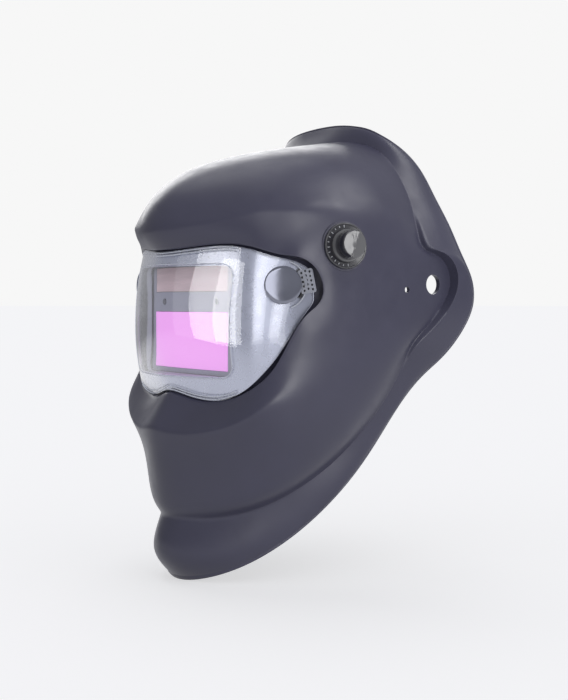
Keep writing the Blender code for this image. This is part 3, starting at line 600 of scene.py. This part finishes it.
# Three more rows before the rear edge; the middle one sinks and leaves a bead at the edge.
rear_edge = [(x, y - REAR_INSET, z) for x, y, z in RIM]
rows = ROWS[:-1] + [between(FLARE, rear_edge, share) for share in GROOVE_AT] + [rear_edge]
half, grid = half_grid(rows, SHARP)
for vert in grid[len(ROWS)]:
    away = vert.normal.copy()
    if abs(vert.co.x) < ON_MIDDLE:
        away.x = 0.0
    vert.co -= away.normalized() * GROOVE_DEPTH * MM
shell = skin("shell_skin", half, SHELL_LEVELS, WALL)
seats = []
holes = [cylinder(KNOB_HOLE_R, -12.0, 12.0, KNOB_AT, KNOB_DIR)]
for side in (-1, 1):
    way = (side, 0, 0)
    seats.append(cylinder(SEAT_R, 0.0, 2.0, (side * SEAT_X, 0, 0), way, 64))
    holes.append(cylinder(PIVOT_R, -8.0, 20.0, (side * SEAT_X, 0, 0), way, 64))
    stop = (side * SEAT_X, STOP_HOLE_AT[0], STOP_HOLE_AT[1])
    holes.append(cylinder(STOP_HOLE_R, -8.0, 20.0, stop, way, 32))
seats.append(cylinder(DIAL_R + 1.0, -2.2, 1.0, KNOB_AT, KNOB_DIR, 64))
seats.append(cylinder(10.0, -3.6, 0.5, KNOB_AT, KNOB_DIR))
shell = shape(shell, seats, "UNION")
shell = shape(shell, holes)
# The skin stays inside the frame's box.
for vert in shell.data.vertices:
    for axis in range(3):
        low, high = CAD_BOX[0][axis], CAD_BOX[1][axis]
        vert.co[axis] = min(max(vert.co[axis], low), high)
finish(shell, "helmet", "shell_plastic", SHELL_PLASTIC, "shell", angle=50.0)

# ---------------------------------------------------------------- visor
# Columns from the middle to the end; each runs from the brow to the cheek.
VISOR = [
    [(0, -165, 22.5), (0, -170, 0), (0, -172, -27), (0, -169, -52), (0, -159.5, -74.5)],
    [(20, -158.5, 23), (20, -164.5, 0), (20, -167, -27), (20, -164, -54), (20, -153, -80)],
    [(40, -150, 25), (40, -156, 2), (40, -159, -27), (40, -157, -55), (40, -147, -82)],
    [(55, -143, 25.5), (55, -148.5, 4), (55, -151.5, -25), (55, -150.5, -54), (55, -143.5, -79)],
    [(68, -135.5, 22.5), (68, -141, 4), (68, -143.5, -22), (68, -143.5, -48), (68, -139.5, -72)],
    [(76, -128, 18.5), (76, -133, 2), (76, -136, -19), (76, -136.5, -40), (76, -133, -62)],
    [(83, -120, 16), (83, -123.2, 2), (83, -125.2, -14), (83, -126.2, -31), (83, -124, -49)],
    [(88, -113, 14.5), (88, -115, 3), (88, -116, -9), (88, -116.5, -21), (88, -116, -33)],
    [(91.5, -107, 11), (91.5, -108, 3), (91.5, -108.5, -5), (91.5, -108.5, -13),
     (91.5, -108, -20)],
    [(94, -101, 6), (94, -101.5, 1.5), (94, -101.5, -3.5), (94, -101.5, -8), (94, -101, -12)],
]


def visor_sheet(depth):
    """The visor's half grid, its outline moved out a little and all of it sunk by depth."""
    bm, _ = half_grid(VISOR, {})
    normals = {vert: vert.normal.copy() for vert in bm.verts}
    for vert, normal in normals.items():
        if abs(vert.co.x) < ON_MIDDLE:
            normal.x = 0.0
            normal.normalize()
        vert.co -= normal * depth * MM
        if vert.is_boundary and abs(vert.co.x) > ON_MIDDLE:
            vert.co.z += math.copysign(VISOR_GROW, vert.co.z - VISOR_SPLIT * MM) * MM
    return bm


# A finer copy without a wall, to lay ribs and lines on.
probe = bake(skin("probe", visor_sheet(0.0), PROBE_LEVELS, 0.0))
cover_tree = BVHTree.FromPolygons([v.co.copy() for v in probe.data.vertices],
                                  [list(p.vertices) for p in probe.data.polygons])
edge_use = {}
for polygon in probe.data.polygons:
    for key in polygon.edge_keys:
        edge_use[key] = edge_use.get(key, 0) + 1
rim = {index for key, count in edge_use.items() if count == 1 for index in key}
rim = [probe.data.vertices[index].co.copy() for index in rim]
bpy.data.objects.remove(probe, do_unlink=True)


def onto(point, way, lift=0.0):
    """Where a line through point, along way, meets the cover's outside."""
    start = Vector(point) * MM - Vector(way).normalized() * 0.08
    spot, normal, _, _ = cover_tree.ray_cast(start, Vector(way))
    if normal.dot(Vector(way)) > 0:
        normal = -normal
    return spot + normal * lift * MM, normal


FACING = Matrix.Rotation(math.radians(90.0), 4, "X")


def upright(x, y, z):
    """Matrix for a flat outline that stands in X and Z and is extruded towards -Y."""
    return Matrix.Translation(Vector((x, y, z)) * MM) @ FACING


def window_slab():
    """Cutter for the window."""
    half_w, top, bottom, radius = WINDOW
    return slab(outline(half_w, 0.5 * (top - bottom), radius, 12), 0.0, 60.0,
                upright(0, -130, 0.5 * (top + bottom)))


def stud_frame(side):
    """Place and direction of the stud on that side, 1 for the left and -1 for the right."""
    return (side * STUD_AT[0], STUD_AT[1], STUD_AT[2]), (side * STUD_DIR[0], STUD_DIR[1], 0.0)


def stud_holes():
    return [cylinder(STUD_HOLE_R, -12.0, 8.0, *stud_frame(side), 32) for side in (1, -1)]


cover = skin("cover_clear", visor_sheet(0.0), VISOR_LEVELS, COVER_T)
cover = shape(cover, stud_holes())
cover = finish(cover, "helmet", "clear_cover", CLEAR, "visor_cover", angle=50.0)
# Light passes straight through the clear sheet to what is behind it.
cover.visible_shadow = False
cover.visible_diffuse = False
cover.visible_glossy = False

bezel = skin("bezel_silver", visor_sheet(COVER_T + GAP + 0.3), VISOR_LEVELS, BEZEL_T)
posts = [cylinder(POST_R, 0.0, 3.3, (x, -137.9, z), (0, -1, 0), 24) for x, z in POSTS]
bezel = shape(bezel, posts, "UNION")
bezel = shape(bezel, [window_slab()], bevel=0.25)
pilots = [cylinder(PILOT_R, 0.0, 3.2, (x, -137.7, z), (0, -1, 0), 16) for x, z in POSTS]
bezel = shape(bezel, stud_holes() + pilots)
finish(bezel, "helmet", "silver_plastic", SILVER, "visor_bezel", angle=45.0)

# Raised line round the window, on the cover, pale as a painted highlight.
frame_line = []
half_w, top, bottom, radius = WINDOW
half_h = 0.5 * (top - bottom)
grown = [size + WINDOW_LINE for size in (half_w, half_h, radius)]
for px, pz in outline(*grown, 14):
    frame_line.append((px, pz + 0.5 * (top + bottom)))
dense = []
for index, (px, pz) in enumerate(frame_line):
    qx, qz = frame_line[(index + 1) % len(frame_line)]
    count = max(1, int(math.hypot(qx - px, qz - pz) / 3.0))
    for step in range(count):
        share = step / count
        dense.append((px + (qx - px) * share, pz + (qz - pz) * share))
line = [onto((px, IN_FRONT, pz), (0, 1, 0))[0] for px, pz in dense]
finish(tube("cover_window_line", line, 0.28, True), "helmet", "clear_cover", RIB_HIGHLIGHT)


def rib(name, points, radius, lift=0.15):
    path = [spot + normal * lift * MM for spot, normal in points]
    return finish(tube(name, path, radius), "helmet", "clear_cover", RIB_HIGHLIGHT)


def edge_path(upper, reach, inset):
    """Points just inside the cover's upper or lower edge, from left to right."""
    side = [p for p in rim if (p.z > VISOR_SPLIT * MM) == upper and abs(p.x) < reach * MM]
    side.sort(key=lambda p: p.x)
    out = []
    for p in side:
        z = p.z / MM - inset if upper else p.z / MM + inset
        out.append(onto((p.x / MM, IN_FRONT, z), (0, 1, 0)))
    return out


# Ribs along the cover's upper and lower edges, pale as a painted highlight.
for label, upper in (("top", True), ("bottom", False)):
    for number, inset in enumerate((0.9, 2.9)):
        rib("cover_rib_" + label + "_" + str(number), edge_path(upper, 59.0, inset), 0.38)

# Light hood between the bezel and the filter: its front edge, and its back edge in X and Z.
HOOD = [
    (0, -160.2, 14.2), (20, -155.3, 14.2), (38, -147.8, 14.2), (49, -142.8, 13.4),
    (56, -140.9, 8.5), (58, -140.9, 0), (58.3, -142.0, -14), (58.3, -142.8, -28),
    (58.3, -142.4, -44), (58, -140.9, -58), (55.5, -140.8, -66.5), (47, -142.6, -70.6),
    (36, -146.6, -70.8), (19, -151.8, -70.8), (0, -154.8, -70.8),
]
HOOD_BACK = [
    (0, 15.2), (18, 15.2), (34, 15.2), (45, 15.2), (49.5, 11), (50.2, 0), (50.2, -14),
    (50.2, -28), (50.2, -44), (50.2, -57), (48.5, -64), (42, -65.6), (32, -65.6), (17, -65.6),
    (0, -65.6),
]


def window_ring(name, start, end, lift, thickness, slot, look, *nodes):
    """One ring of the funnel from the window back to the filter, start and end in 0 to 1."""
    outer = rounded(HOOD, 3)
    inner = rounded([(x, ADF_FRONT - 0.8, z) for x, z in HOOD_BACK], 3)
    ring = bmesh.new()
    loops = []
    for share in (start, end):
        loops.append([ring.verts.new(far.lerp(near, share) * MM + Vector((0, -lift, 0)) * MM)
                      for far, near in zip(outer, inner)])
    for step in range(len(outer) - 1):
        ring.faces.new((loops[0][step], loops[1][step], loops[1][step + 1], loops[0][step + 1]))
    mesh = bpy.data.meshes.new(name)
    ring.to_mesh(mesh)
    ring.free()
    band = put(name, mesh)
    band.modifiers.new("mirror", "MIRROR").merge_threshold = 1e-5
    wall = band.modifiers.new("wall", "SOLIDIFY")
    wall.thickness = thickness * MM
    wall.offset = 0.0
    return finish(bake(band), "helmet", slot, look, *nodes, angle=50.0)


# The hood is dark with a grey band over its back part, a shaded and a lit copy of one wall:
# painted shade in the gap behind the window's edge, and a painted lit wall behind it.
window_ring("hood_skin", 0.0, 1.0, 0.0, 0.9, "dark_plastic", DARK, "window_hood")
window_ring("hood_lit_band", 0.55, 0.97, 0.75, 0.5, "filter_face", FACE)

# ---------------------------------------------------------------- visor ends
def arc(side, radius, first, last, lift, steps=28):
    """Points on the cover along part of a circle round a stud; angle 0 is behind the stud."""
    spot, way = stud_frame(side)
    points = []
    for step in range(steps + 1):
        angle = math.radians(first + (last - first) * step / steps)
        reach = Vector((side * -STUD_DIR[1], STUD_DIR[0], 0.0)) * math.cos(angle)
        reach += Vector((0, 0, 1)) * math.sin(angle)
        start = Vector(spot) + reach * radius
        points.append(onto(start, (-way[0], -way[1], 0), lift)[0])
    return points


for side, label in ((1, "left"), (-1, "right")):
    spot, way = stud_frame(side)
    base = frame_at(spot, way)
    stud = lathe("stud_disc_" + label, [
        (0, -10), (2.6, -10), (2.9, -9.7), (2.9, 1.3), (12.2, 1.3), (12.8, 1.6), (13.0, 2.1),
        (13.0, 2.9), (12.8, 3.15), (12.5, 3.4), (12.1, 3.58), (10.5, 3.65),
        (8.0, 3.72), (5.0, 3.77), (2.5, 3.795), (0, 3.8)], spot, way)
    finish(stud, label + "_stud", "stud_gloss", STUD, "visor_stud_" + label, angle=30.0)
    clip = shape(cylinder(CLIP_R, -8.4, -6.6, spot, way, 48),
                 [cylinder(CLIP_HOLE_R, -10.0, -5.0, spot, way, 32)], bevel=0.2)
    clip.name = "clip_disc_" + label
    finish(clip, "helmet", "spring_steel", STEEL, "stud_clip_" + label)

    # Perforated grip plate on the end of the cover.
    grip_way = Vector((side * GRIP_DIR[0], GRIP_DIR[1], GRIP_DIR[2])).normalized()
    across = Vector((side * -GRIP_DIR[1], GRIP_DIR[0], 0.0)).normalized()
    upward = grip_way.cross(across) * side
    if upward.z < 0:
        upward = -upward
    place = Matrix((across, upward, grip_way)).transposed().to_4x4()
    if place.determinant() < 0:
        place = Matrix((-across, upward, grip_way)).transposed().to_4x4()
    centre = Vector((side * GRIP_AT[0], GRIP_AT[1], GRIP_AT[2])) * MM
    twist = Matrix.Rotation(math.radians(side * GRIP_TURN), 4, "Z")
    place = Matrix.Translation(centre) @ place @ twist
    plate = slab(outline(GRIP_SIZE[0], GRIP_SIZE[1], 1.6), 0.0, 1.1, place)
    dots = []
    for row in range(5):
        for column in range(3):
            gx = (column - 1) * DOT_PITCH
            gy = (row - 2) * DOT_PITCH + (DOT_SHIFT if column % 2 else 0.0)
            dot = cylinder(DOT_R, -1.0, 3.0, (gx, gy, 0), None, 16)
            dot.data.transform(place)
            dots.append(dot)
    plate = shape(plate, dots, bevel=0.15)
    plate.name = "grip_plate_" + label
    finish(plate, "helmet", "clear_cover", GRIP, angle=30.0)
    # A dark sheet under the perforated plate: painted shade seen through its holes.
    shadow_sheet = slab(outline(GRIP_SIZE[0] - 0.6, GRIP_SIZE[1] - 0.6, 1.2), -0.7, -0.1, place)
    shadow_sheet.name = "grip_shadow_" + label
    soften(shadow_sheet, 0.1)
    finish(bake(shadow_sheet), "helmet", "dark_plastic", DARK)

    # Curved slot behind the disc, drawn as a dark rod on the cover: painted shade where the slot
    # opens; and its raised rim.
    finish(tube("cover_slot_" + label, arc(side, 14.6, -38, 46, 0.1), 1.25), "helmet",
           "dark_plastic", DARK)
    # The slot's raised rim is pale: a painted highlight.
    finish(tube("cover_arc_" + label, arc(side, 16.6, -70, 72, 0.1), 0.55), "helmet",
           "clear_cover", RIB_HIGHLIGHT)

# ---------------------------------------------------------------- shade control
dial = lathe("dial_ring", [
    (8.4, 1.35), (15.7, 1.35), (16.1, 1.6), (16.2, 2.1), (16.1, 2.8), (15.8, 3.3), (15.3, 3.5),
    (14.9, 3.4), (14.7, 3.0), (11.2, 2.6), (10.9, 2.9), (8.4, 2.9)],
    KNOB_AT, KNOB_DIR, 120)
finish(dial, "helmet", "dark_plastic", DIAL, "shade_dial", angle=35.0)

knob = lathe("knob_grip", [
    (3.15, 4.0), (11.0, 4.0), (11.2, 4.3), (11.2, 5.2), (10.8, 5.7), (10.2, 6.0),
    (9.9, 6.6), (9.7, 12.0), (9.4, 16.6), (9.1, 17.2), (8.6, 17.5), (3.0, 17.5),
    (3.0, 14.0), (3.15, 14.0)], KNOB_AT, KNOB_DIR, 96)
at_knob = frame_at(KNOB_AT, KNOB_DIR) @ Matrix.Rotation(math.radians(KNOB_TURN), 4, "Z")
plug = cylinder(3.05, 13.9, 17.45, KNOB_AT, KNOB_DIR, 32)
knob = shape(knob, [plug], "UNION")
slope = Matrix.Rotation(math.radians(-KNOB_SLOPE), 4, "X")
hinge = Matrix.Translation(Vector(KNOB_STEP_AT) * MM)
step_cut = block((-14, 0.0, 0.0), (14, 15, 8), at_knob @ hinge @ slope)
room = cylinder(7.2, 0.0, 5.2, KNOB_AT, KNOB_DIR, 32)
knob = shape(knob, [step_cut, room], bevel=0.35)
finish(knob, "shade", "knob_plastic", KNOB, "shade_knob", angle=30.0)
pointer = block((7.2, -0.7, 17.2), (9.9, 0.2, 17.75), at_knob)
soften(pointer, 0.1)
pointer = bake(pointer)
pointer.name = "knob_pointer"
finish(pointer, "shade", "knob_plastic", KNOB)

at_dial = frame_at(KNOB_AT, KNOB_DIR)
for step in range(DIAL_TICKS):
    angle = math.radians(DIAL_START + DIAL_PITCH * step)
    long = step % 3 == 0
    turn = at_dial @ Matrix.Rotation(angle, 4, "Z")
    tick = block((12.6 if long else 13.1, -0.2, 2.7), (14.4, 0.2, 3.15), turn)
    soften(tick, 0.05)
    tick = bake(tick)
    tick.name = "dial_tick_" + str(step)
    finish(tick, "helmet", "dark_plastic", MARKS)

# ---------------------------------------------------------------- inside wires
# Half of the bail from its pivot to the middle of its bow, and the cable from the knob's end.
BAIL = [
    (53.2, -134, -24), (56.2, -134, -24), (57.3, -133.9, -23.4), (57.9, -133.3, -21.4),
    (57.9, -130.0, -6.0), (57.9, -127.0, 8.6), (57.5, -126.1, 12.1), (55.2, -125.9, 13.5),
    (30, -125.9, 13.5), (0, -125.9, 13.5),
]
bail_line = rounded(BAIL + [(-x, y, z) for x, y, z in BAIL[-2::-1]], 6)
bail = tube("bail_wire", [p * MM for p in bail_line], 1.15, sides=6)
finish(bail, "bail", "spring_steel", STEEL, "adf_bail", angle=60.0)

CABLE = [
    (89.5, -77.8, 25.1), (87.4, -78.4, 24.5), (84.4, -82.6, 22.3), (79.8, -95, 15.8),
    (75.5, -107, 10), (71, -119, 4.5), (66.5, -129, 1.2), (62.5, -134.4, 0.2),
    (58.5, -136.6, 0), (52.3, -136.6, 0),
]
cable = tube("lead_wire", [p * MM for p in rounded(CABLE, 6)], 1.1, sides=6)
finish(cable, "helmet", "cable_rubber", RUBBER, "shade_cable", angle=60.0)

# ---------------------------------------------------------------- frame nodes that stay
# Look and bevel width of each.
KEPT = {
    "adf_front_housing": (FACE, 0.3), "adf_rear_housing": (DARK, 0.3),
    "uv_ir_filter": (MAGENTA, 0.1), "lcd_cell_front": (LCD, 0.1), "lcd_cell_rear": (LCD, 0.1),
    "solar_cell": (SOLAR, 0.1), "circuit_board": (BOARD, 0.1),
    "inner_cover_lens": (CLEAR, 0.15), "grind_switch": (RED, 0.3),
    "arc_sensor_left": (SENSOR, 0.2), "arc_sensor_right": (SENSOR, 0.2),
    "battery_left": (CELL, 0.3), "battery_right": (CELL, 0.3),
    "battery_cap_left": (DARK, 0.25), "battery_cap_right": (DARK, 0.25),
    "sensitivity_knob": (DARK, 0.25), "delay_knob": (DARK, 0.25), "test_button": (GREEN, 0.3),
    "adf_frame": (DARK, 0.4), "frame_screw_1": (STEEL, 0.15), "frame_screw_2": (STEEL, 0.15),
    "frame_screw_3": (STEEL, 0.15), "frame_screw_4": (STEEL, 0.15),
    "shade_pot_shaft": (BRASS, 0.15), "shade_pot_body": (POT, 0.3),
    "shade_pot_nut": (STEEL, 0.3),
}
for name, (look, width) in KEPT.items():
    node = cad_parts[name]
    node.data.materials.clear()
    node.data.materials.append(look)
    soften(node, width)
    for polygon in node.data.polygons:
        polygon.use_smooth = False

# ---------------------------------------------------------------- studio
def maths(tree, operation, first, second):
    """Math node on two outputs, or on an output and a number."""
    node = tree.nodes.new("ShaderNodeMath")
    node.operation = operation
    tree.links.new(first, node.inputs[0])
    if isinstance(second, float):
        node.inputs[1].default_value = second
    else:
        tree.links.new(second, node.inputs[1])
    return node.outputs[0]


def straight_path(tree):
    """Output that is 1 where the camera looks straight or only through the clear cover."""
    rays = tree.nodes.new("ShaderNodeLightPath")
    bounces = maths(tree, "ADD", rays.outputs["Glossy Depth"], rays.outputs["Diffuse Depth"])
    return maths(tree, "LESS_THAN", bounces, 0.5)


def floor_look():
    """Pale floor that looks as bright as the backdrop but throws little light upwards.

    In mirrors only the pool round the object glows.
    """
    mat = bpy.data.materials.new("floor")
    mat.use_nodes = True
    nodes = mat.node_tree.nodes
    body = nodes["Principled BSDF"]
    body.inputs["Base Color"].default_value = (*FLOOR_TINT, 1.0)
    body.inputs["Roughness"].default_value = 0.9
    body.inputs["Specular IOR Level"].default_value = 0.0
    body.inputs["Emission Color"].default_value = (1.0, 1.0, 1.0, 1.0)
    links = mat.node_tree.links
    place = nodes.new("ShaderNodeTexCoord")
    reach = nodes.new("ShaderNodeVectorMath")
    reach.operation = "LENGTH"
    links.new(place.outputs["Object"], reach.inputs[0])
    pool = nodes.new("ShaderNodeMapRange")
    pool.interpolation_type = "SMOOTHSTEP"
    for key, value in (("From Min", POOL_START), ("From Max", POOL_END), ("To Min", 1.0),
                       ("To Max", 0.0)):
        pool.inputs[key].default_value = value
    links.new(reach.outputs["Value"], pool.inputs["Value"])
    rays = nodes.new("ShaderNodeLightPath")
    tree = mat.node_tree
    mirrored = maths(tree, "MULTIPLY", rays.outputs["Is Glossy Ray"], pool.outputs["Result"])
    either = maths(tree, "MAXIMUM", straight_path(tree), mirrored)
    links.new(maths(tree, "MULTIPLY", either, FLOOR_GLOW), body.inputs["Emission Strength"])
    return mat


bm = bmesh.new()
bmesh.ops.create_circle(bm, cap_ends=True, segments=64, radius=FLOOR_R)
floor = put("floor", from_bm(bm), Matrix.Translation((0.0, 0.0, CAD_BOX[0][2])))
floor.data.materials.append(floor_look())
floor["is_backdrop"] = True

world = bpy.data.worlds.new("studio")
scene.world = world
world.use_nodes = True
sky = world.node_tree.nodes["Background"]
sky.inputs["Color"].default_value = (*SKY_TINT, 1.0)
sky.inputs["Strength"].default_value = SKY
backdrop = world.node_tree.nodes.new("ShaderNodeBackground")
backdrop.inputs["Color"].default_value = (1.0, 1.0, 1.0, 1.0)
backdrop.inputs["Strength"].default_value = BACKDROP
choose = world.node_tree.nodes.new("ShaderNodeMixShader")
joins = world.node_tree.links
joins.new(straight_path(world.node_tree), choose.inputs[0])
joins.new(sky.outputs[0], choose.inputs[1])
joins.new(backdrop.outputs[0], choose.inputs[2])
joins.new(choose.outputs[0], world.node_tree.nodes["World Output"].inputs["Surface"])

# Beginnings of the names of the pieces in each group; all other pieces are in the shell group.
LIT_ALONE = {
    "stud": ("stud_disc",),
    "knob": ("knob_",),
    "glass": ("cover_clear",),
    "visor": ("cover_", "bezel_", "grip_", "hood_", "arc_", "adf_front", "uv_ir", "solar"),
}
groups = {}
for label in ("glass", "visor", "stud", "knob", "shell"):
    groups[label] = bpy.data.collections.new(label + "_group")
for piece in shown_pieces():
    labels = [label for label, words in LIT_ALONE.items() if piece.name.startswith(words)]
    for label in labels or ["shell"]:
        groups[label].objects.link(piece)


def soft_light(name, azimuth, elevation, distance, width, height, glow, aim, group):
    """A rectangular soft light on one group; glow is its brightness seen in a mirror."""
    data = bpy.data.lights.new(name, "AREA")
    data.shape = "RECTANGLE"
    data.size = width
    data.size_y = height
    data.energy = glow * width * height * math.pi
    lamp = bpy.data.objects.new(name, data)
    scene.collection.objects.link(lamp)
    away = direction(azimuth, elevation)
    lamp.location = aim + away * distance
    lamp.rotation_mode = "QUATERNION"
    lamp.rotation_quaternion = (-away).to_track_quat("-Z", "Y")
    lamp.light_linking.receiver_collection = groups[group]


VISOR_SPOT = Vector((0.045, -0.150, -0.010))
SHELL_SPOT = Vector((0.060, -0.060, -0.020))
LAMPS = [
    ("front_box", 8.5, 8.0, 1.3, 0.46, 0.78, 6.5, VISOR_SPOT, "glass"),
    ("soft_front_box", -1.0, 8.0, 1.3, 0.42, 0.90, 1.3, VISOR_SPOT, "visor"),
    ("side_box", 47.5, 6.0, 1.6, 0.50, 1.60, 2.2, VISOR_SPOT, "visor"),
    ("stud_box", 43.0, 2.0, 1.6, 0.76, 1.00, 2.5, VISOR_SPOT, "stud"),
    ("knob_box", 90.0, 5.0, 1.5, 0.58, 0.70, 7.0, SHELL_SPOT, "knob"),
    ("side_strip", 68.0, -3.0, 1.6, 0.28, 0.50, 3.0, VISOR_SPOT, "visor"),
    ("key_box", 76.0, 8.0, 1.5, 0.88, 1.25, 4.5, SHELL_SPOT, "shell"),
    ("rim_box", 238.0, 26.0, 1.4, 1.60, 0.66, 3.0, SHELL_SPOT, "shell"),
    ("back_box", 128.0, 56.0, 1.4, 0.60, 0.50, 4.0, SHELL_SPOT, "shell"),
]
for lamp in LAMPS:
    soft_light(*lamp)
sun = bpy.data.objects.new("top_light", bpy.data.lights.new("top_light", "SUN"))
scene.collection.objects.link(sun)
sun.data.angle = math.radians(TOP_LIGHT_SPREAD)
sun.data.energy = TOP_LIGHT
sun.rotation_mode = "QUATERNION"
sun.rotation_quaternion = (-direction(*TOP_LIGHT_FROM)).to_track_quat("-Z", "Y")

scene.view_settings.view_transform = "Standard"
scene.view_settings.look = "None"
scene.cycles.use_denoising = True
